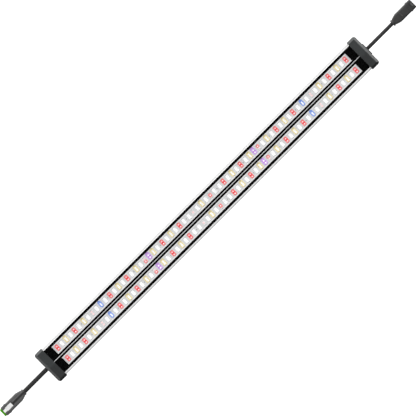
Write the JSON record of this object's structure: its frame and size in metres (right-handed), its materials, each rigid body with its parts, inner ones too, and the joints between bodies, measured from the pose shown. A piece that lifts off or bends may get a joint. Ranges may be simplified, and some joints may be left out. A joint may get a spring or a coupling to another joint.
{
  "type": "led aquarium light",
  "caption": "Flat aluminium light bar with two boards of mixed-colour LEDs under a clear cover, and a short lead with a locking connector at each end.",
  "frame": {"origin": "centre of the extrusion's back face, midway between the outer faces of the end caps", "axes": "+X along the bar to the socket end, +Y across it, +Z out of the lit face"},
  "size_m": [0.5783, 0.0372, 0.0172],
  "materials": {
    "anodised_aluminium": "fine brushed, clear anodised",
    "clear_polycarbonate": "polished, clear",
    "silicone": "matte",
    "black_plastic": "fine matte moulded",
    "white_board": "white solder mask",
    "thermal_tape": "matte",
    "white_led": "satin lens in a white frame",
    "warm_led": "satin lens in a warm frame",
    "red_led": "satin lens, two bright chips",
    "blue_led": "satin lens in a blue frame",
    "violet_led": "satin lens in a violet frame",
    "far_red_led": "satin lens, pale chips",
    "chip_ceramic": "ceramic with tinned ends",
    "solder": "bright solder",
    "cap_plastic": "fine satin moulded",
    "screw_steel": "bright zinc",
    "black_rubber": "matte",
    "lead_jacket": "satin jacket",
    "connector_plastic": "satin moulded",
    "green_plastic": "satin",
    "contact_brass": "gold-plated contact",
    "white_plastic": "satin moulded"
  },
  "bodies": {
    "lamp": {"housing_extrusion": "anodised_aluminium", "clear_cover": "clear_polycarbonate", "cover_seals": "silicone", "bezel_a": "black_plastic", "bezel_b": "black_plastic", "board_a": "white_board", "board_b": "white_board", "thermal_tape_a": "thermal_tape", "thermal_tape_b": "thermal_tape", "leds_white": "white_led", "leds_warm_white": "warm_led", "leds_red": "red_led", "leds_small_red": "red_led", "leds_blue": "blue_led", "leds_violet": "violet_led", "leds_far_red": "far_red_led", "chip_resistors": "chip_ceramic", "solder_joints": "solder", "end_cap_plug_side": "cap_plastic", "end_cap_socket_side": "cap_plastic", "gasket_plug_side": "silicone", "gasket_socket_side": "silicone", "cap_screws": "screw_steel", "grommet_plug_side": "black_rubber", "grommet_socket_side": "black_rubber", "inner_lead_plug_side": "lead_jacket", "inner_lead_socket_side": "lead_jacket", "lead_plug_side": "lead_jacket", "lead_socket_side": "lead_jacket", "plug_body": "connector_plastic", "plug_front_lock": "green_plastic", "plug_carrier": "black_plastic", "plug_contacts": "contact_brass", "plug_wire_seal": "silicone", "plug_tail": "lead_jacket", "socket_body": "connector_plastic", "socket_carrier": "black_plastic", "socket_pins": "contact_brass", "socket_wire_seal": "silicone", "socket_tail": "lead_jacket"},
    "lock_slide": {"plug_lock_slide": "white_plastic"}
  },
  "joints": [
    {"name": "lock_slide_travel", "type": "slide", "parent": "lamp", "child": "lock_slide", "axis": [1, 0, 0], "range_m": [0, 0.0012]}
  ]
}
